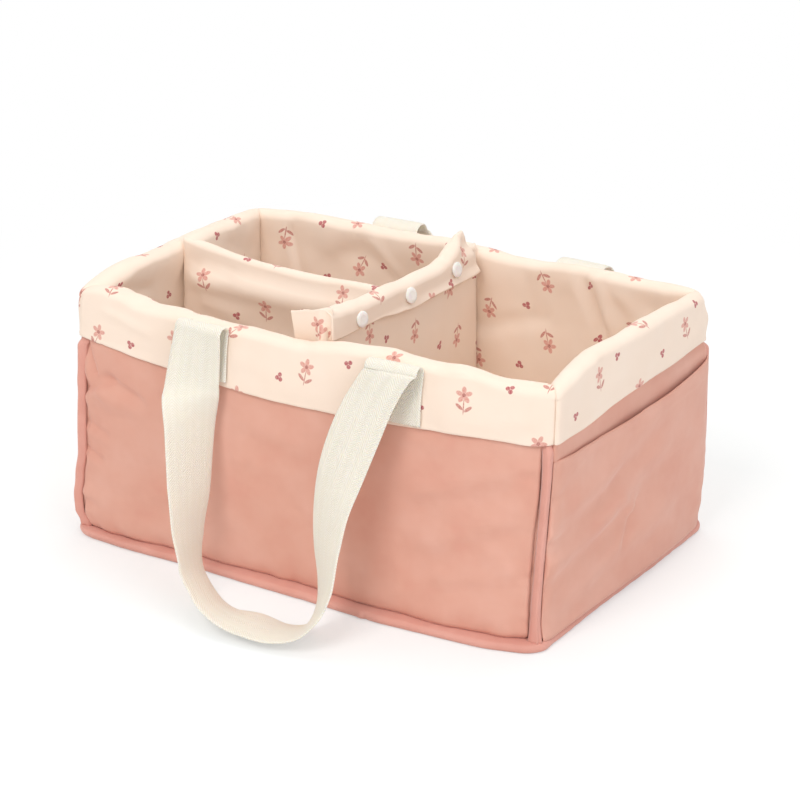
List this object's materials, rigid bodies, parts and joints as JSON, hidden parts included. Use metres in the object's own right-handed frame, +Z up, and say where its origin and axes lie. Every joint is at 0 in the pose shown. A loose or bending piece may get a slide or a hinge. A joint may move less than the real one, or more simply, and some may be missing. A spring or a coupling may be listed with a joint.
{
  "type": "diaper caddy",
  "caption": "Soft padded open carry box with a printed cuff over its rim, a T-shaped padded divider with a press-stud flap, end pockets and two folding webbing handles.",
  "frame": {"origin": "on the floor under the middle of the caddy", "axes": "+X along the length to the viewer's right, -Y out of the front wall, +Z up"},
  "size_m": [0.3964, 0.4172, 0.1978],
  "materials": {
    "rose_cotton": "soft woven cotton, dusty rose",
    "printed_cotton": "soft woven cotton, cream with a small sprig print",
    "webbing": "ivory cotton webbing, herringbone weave",
    "foam": "polyester wadding",
    "stiffener": "grey-brown board",
    "press_stud": "moulded white plastic"
  },
  "bodies": {
    "caddy": {"front_outer_panel": "rose_cotton", "front_foam": "foam", "front_lining_cuff": "printed_cotton", "back_outer_panel": "rose_cotton", "back_foam": "foam", "back_lining_cuff": "printed_cotton", "left_outer_panel": "rose_cotton", "left_foam": "foam", "left_lining_cuff": "printed_cotton", "right_outer_panel": "rose_cotton", "right_foam": "foam", "right_lining_cuff": "printed_cotton", "base_outer_skin": "rose_cotton", "base_board": "stiffener", "base_foam": "foam", "base_lining": "printed_cotton", "base_flange": "rose_cotton", "corner_binding_front_left": "rose_cotton", "front_handle_seat_left": "webbing", "corner_binding_front_right": "rose_cotton", "front_handle_seat_right": "webbing", "corner_binding_back_left": "rose_cotton", "back_handle_seat_left": "webbing", "corner_binding_back_right": "rose_cotton", "back_handle_seat_right": "webbing", "right_pocket_panel": "rose_cotton", "left_pocket_panel": "rose_cotton", "cross_divider_cover": "printed_cotton", "cross_divider_foam": "foam", "long_divider_cover": "printed_cotton", "long_divider_foam": "foam", "snap_band": "printed_cotton", "band_front_tab": "printed_cotton", "snap_stud_1": "press_stud", "snap_stud_2": "press_stud", "snap_stud_3": "press_stud"},
    "front_handle": {"front_handle": "webbing"},
    "back_handle": {"back_handle": "webbing"},
    "flap": {"snap_flap": "printed_cotton", "snap_cap_1": "press_stud", "snap_socket_1": "press_stud", "snap_cap_2": "press_stud", "snap_socket_2": "press_stud", "snap_cap_3": "press_stud", "snap_socket_3": "press_stud"}
  },
  "joints": [
    {"name": "front_handle_swing", "type": "hinge", "parent": "caddy", "child": "front_handle", "pos_m": [0, -0.12165, 0.1876], "axis": [-1, 0, 0], "range_deg": [0, 180]},
    {"name": "back_handle_swing", "type": "hinge", "parent": "caddy", "child": "back_handle", "pos_m": [0.006, 0.12145, 0.1891], "axis": [1, 0, 0], "range_deg": [0, 180]},
    {"name": "flap_open", "type": "hinge", "parent": "caddy", "child": "flap", "pos_m": [0.005, 0, 0.198], "axis": [0, -1, 0], "range_deg": [0, 170]}
  ]
}
